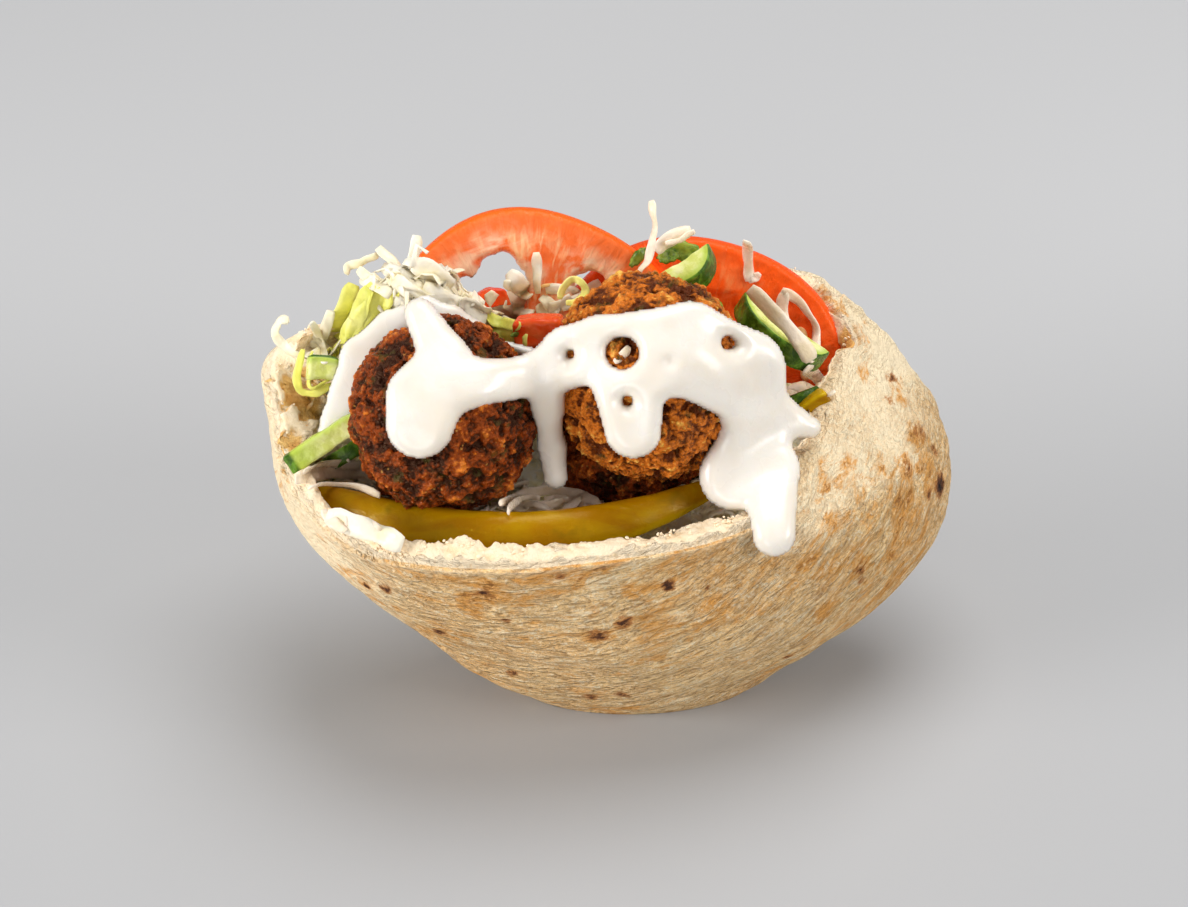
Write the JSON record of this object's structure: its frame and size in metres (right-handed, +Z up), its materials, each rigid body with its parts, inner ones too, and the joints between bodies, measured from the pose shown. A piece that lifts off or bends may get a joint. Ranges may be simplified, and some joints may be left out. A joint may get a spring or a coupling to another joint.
{
  "type": "falafel pita",
  "caption": "Pita bread pouch stood on its rounded base and filled with shredded salad, falafel, tomato slices, cucumber, red pepper and a long pickle slice, under thick tahini sauce.",
  "frame": {"origin": "middle of the whole object's footprint, on the surface that it stands on", "axes": "+X along the pouch's long opening to its right end, +Y from the near wall with the pickle to the far wall, +Z up"},
  "size_m": [0.15, 0.0858, 0.1021],
  "materials": {
    "bread": "dry, floury flatbread crust with scattered toasted spots; stands in for bread",
    "falafel": "coarse deep-fried crumb crust; stands in for fried chickpea paste",
    "tomato": "wet cut flesh with a smooth skin edge; stands in for raw tomato",
    "pickle": "wet smooth skin; stands in for pickled cucumber",
    "cucumber": "dark green skin and pale wet flesh; stands in for raw cucumber",
    "pepper": "wet, smooth; stands in for raw red pepper",
    "salad": "moist shreds; stands in for shredded cabbage and lettuce",
    "sauce": "thick, smooth and glossy; stands in for tahini sauce"
  },
  "bodies": {
    "root": {"pita": "bread", "falafel_left": "falafel", "falafel_right": "falafel", "falafel_under": "falafel", "tomato_slice_left": "tomato", "tomato_slice_right": "tomato", "pickle_slice": "pickle", "pickle_piece": "pickle", "cucumber_block": "cucumber", "cucumber_stick": "cucumber", "cucumber_chunk": "cucumber", "cucumber_wedge": "cucumber", "cucumber_slice": "cucumber", "cucumber_end": "cucumber", "red_pepper_piece": "pepper", "red_pepper_strip": "pepper", "salad_filling": "salad", "tahini_sauce": "sauce"}
  },
  "joints": []
}
